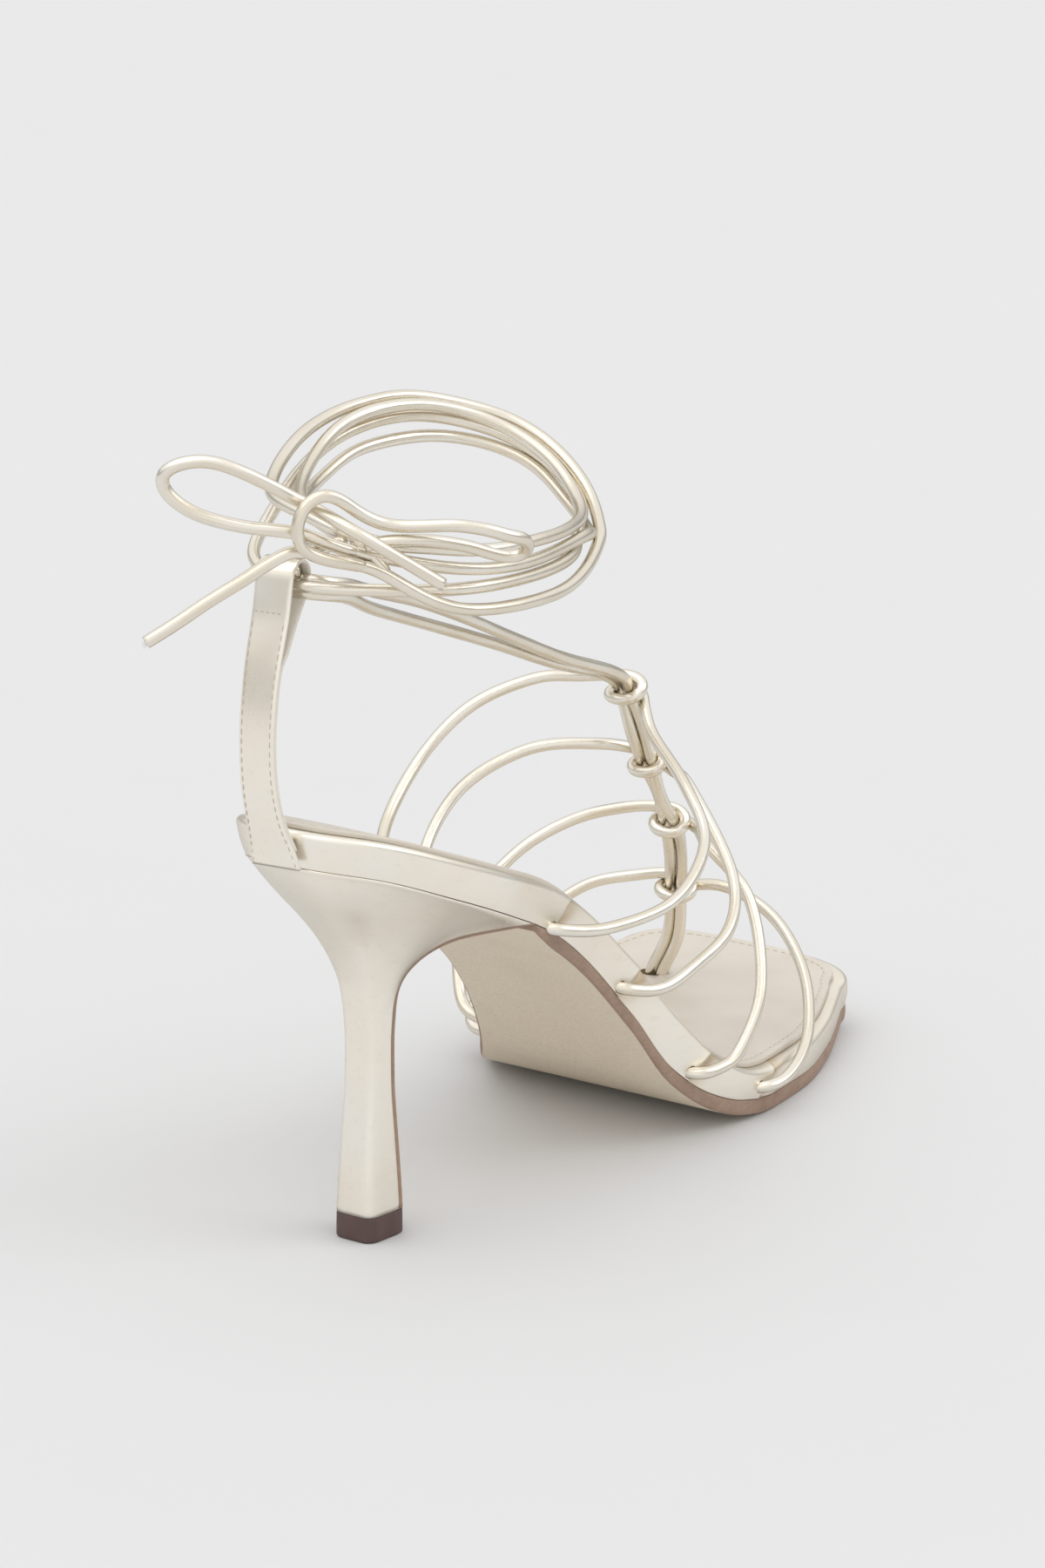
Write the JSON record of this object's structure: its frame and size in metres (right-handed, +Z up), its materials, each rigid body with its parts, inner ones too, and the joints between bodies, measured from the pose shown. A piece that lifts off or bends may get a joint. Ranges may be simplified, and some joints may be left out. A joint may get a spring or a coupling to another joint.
{
  "type": "caged lace-up stiletto sandal",
  "caption": "Open-toed stiletto sandal: a cage of knotted cord ribs over a slim platform, a heel strap and cord ties round the ankle in a bow.",
  "frame": {"origin": "centre of the box round the shoe without its bow, on the floor", "axes": "+Z up, toe towards -Y, little-toe side of this right shoe towards -X"},
  "size_m": [0.0906, 0.2527, 0.1778],
  "materials": {
    "sole": "matt, finely pebbled, brown cut edge",
    "platform_gold": "pale gold metallic foil",
    "sock": "pale gold satin foil",
    "heel_gold": "pale gold metallic foil",
    "rubber": "matt dark brown",
    "strap_gold": "pale gold metallic foil",
    "cord_gold": "pale gold metallic foil over a round cord"
  },
  "bodies": {
    "root": {"outsole": "sole", "footbed": "platform_gold", "insole": "sock", "heel": "heel_gold", "heel_tip": "rubber", "heel_strap": "strap_gold", "cage": "cord_gold", "ankle_lace": "cord_gold", "bow_right": "cord_gold", "bow_left": "cord_gold", "bow_end": "cord_gold"}
  },
  "joints": []
}
